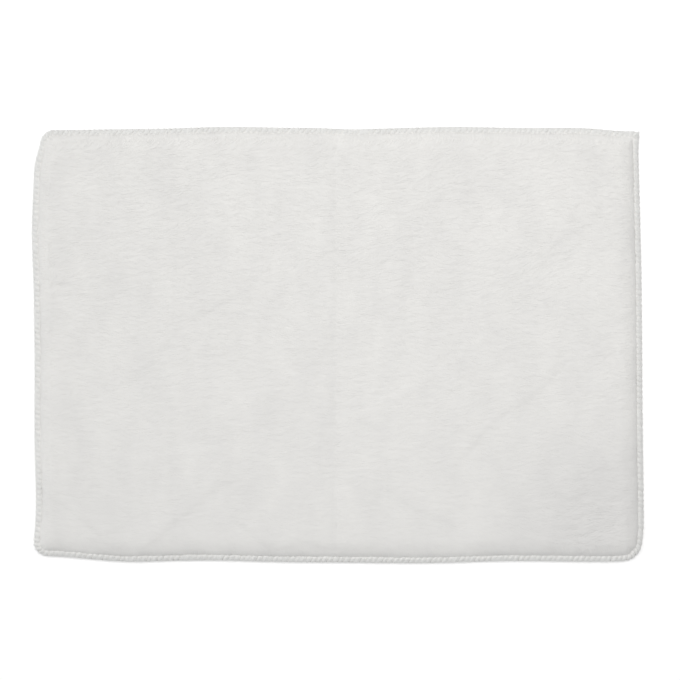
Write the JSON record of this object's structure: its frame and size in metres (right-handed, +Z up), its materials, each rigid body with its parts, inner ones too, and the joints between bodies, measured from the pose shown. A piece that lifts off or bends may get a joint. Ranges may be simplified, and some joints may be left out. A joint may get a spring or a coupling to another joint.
{
  "type": "bath mat",
  "caption": "Rectangular plush bath mat lying flat: soft pile over a foam pad, cloth backing with a dotted rubber grip coat, and an overlocked edge all round.",
  "frame": {"origin": "on the floor under the middle of the mat, at the foot of the middle grip dot", "axes": "+X along the mat's length, +Y across it away from the edge with the care label, +Z up out of the pile"},
  "size_m": [0.7, 0.5, 0.0181],
  "materials": {
    "pile": "soft plush microfibre pile, brushed mostly along the mat's length",
    "ground_knit": "fine knitted ground that holds the pile",
    "foam": "soft open-cell foam",
    "backing": "plain woven backing cloth",
    "grip_rubber": "thin matt rubber coat with raised dots",
    "edging_yarn": "bulky textured polyester yarn, overlocked",
    "label_tape": "smooth woven satin tape, blank"
  },
  "bodies": {
    "root": {"plush_pile": "pile", "face_ground_knit": "ground_knit", "foam_pad": "foam", "backing_cloth": "backing", "grip_coat": "grip_rubber", "overlock_needle_thread": "edging_yarn", "overlock_upper_looper_thread": "edging_yarn", "overlock_lower_looper_thread": "edging_yarn", "overlock_chain_tail": "edging_yarn", "care_label": "label_tape"}
  },
  "joints": []
}
